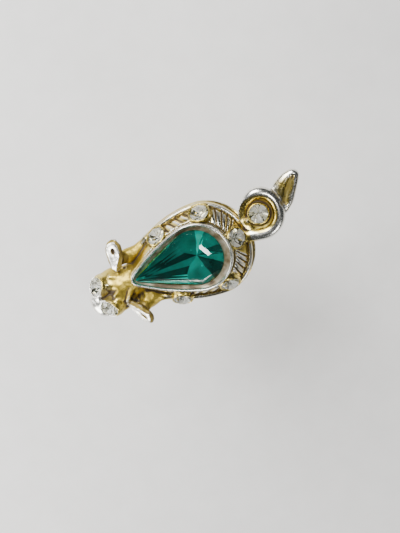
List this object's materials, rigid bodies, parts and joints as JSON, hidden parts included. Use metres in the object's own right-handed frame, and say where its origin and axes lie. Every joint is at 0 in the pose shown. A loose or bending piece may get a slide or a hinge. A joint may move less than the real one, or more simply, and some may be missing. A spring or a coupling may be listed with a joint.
{
  "type": "tie tack",
  "caption": "Cast mouse tie tack set with a faceted pear stone and round stones, on a pointed post held by a sliding ball-lock clutch.",
  "frame": {"origin": "middle of the pad's face, where the post starts, on the plane of the casting's back", "axes": "+Z out of the front of the tack, away from the tie; +X from the head to the tail; +Y to the mouse's right side"},
  "size_m": [0.0265, 0.0106, 0.0125],
  "materials": {
    "casting": "gold plated, worn to nickel on the high edges",
    "collar": "gold plated, worn to nickel",
    "pear_glass": "faceted, foiled back",
    "clear_glass": "faceted, foiled back",
    "pad": "gold plated, satin",
    "post": "gold-washed steel wire",
    "clutch": "gold plated, bright",
    "cap": "gold plated, knurled",
    "cage": "turned",
    "hard_steel": "hardened and ground",
    "spring": "drawn spring wire"
  },
  "bodies": {
    "tack": {"mouse_casting": "casting", "bezel_collar": "collar", "pear_stone": "pear_glass", "right_front_rhinestone": "clear_glass", "left_front_rhinestone": "clear_glass", "right_rear_rhinestone": "clear_glass", "left_rear_rhinestone": "clear_glass", "rear_rhinestone": "clear_glass", "tail_rhinestone": "clear_glass", "right_eye_rhinestone": "clear_glass", "left_eye_rhinestone": "clear_glass", "post_pad": "pad", "post": "post"},
    "clutch": {"clutch_shell": "clutch", "wedge_cone": "hard_steel", "end_plate": "clutch", "clutch_spring": "spring"},
    "plunger": {"ball_cage": "cage", "pull_cap": "cap"},
    "lock_ball_1": {"ball_1": "hard_steel"},
    "lock_ball_2": {"ball_2": "hard_steel"},
    "lock_ball_3": {"ball_3": "hard_steel"}
  },
  "joints": [
    {"name": "clutch_slide", "type": "slide", "parent": "tack", "child": "clutch", "axis": [0, 0, 1], "range_m": [-0.012, 0]},
    {"name": "cap_pull", "type": "slide", "parent": "clutch", "child": "plunger", "axis": [0, 0, -1], "range_m": [0, 0.0008], "stiffness_N_per_m": 1000, "springref_m": -0.0005, "deforming": ["clutch_spring"]},
    {"name": "ball_1_release", "type": "slide", "parent": "plunger", "child": "lock_ball_1", "axis": [1, 0, 0], "range_m": [0, 0.00014]},
    {"name": "ball_2_release", "type": "slide", "parent": "plunger", "child": "lock_ball_2", "axis": [-0.5, 0.866, 0], "range_m": [0, 0.00014]},
    {"name": "ball_3_release", "type": "slide", "parent": "plunger", "child": "lock_ball_3", "axis": [-0.5, -0.866, 0], "range_m": [0, 0.00014]}
  ],
  "couplings": [
    {"joint": "ball_1_release", "follows": "cap_pull", "ratio": 0.17},
    {"joint": "ball_2_release", "follows": "cap_pull", "ratio": 0.17},
    {"joint": "ball_3_release", "follows": "cap_pull", "ratio": 0.17}
  ]
}
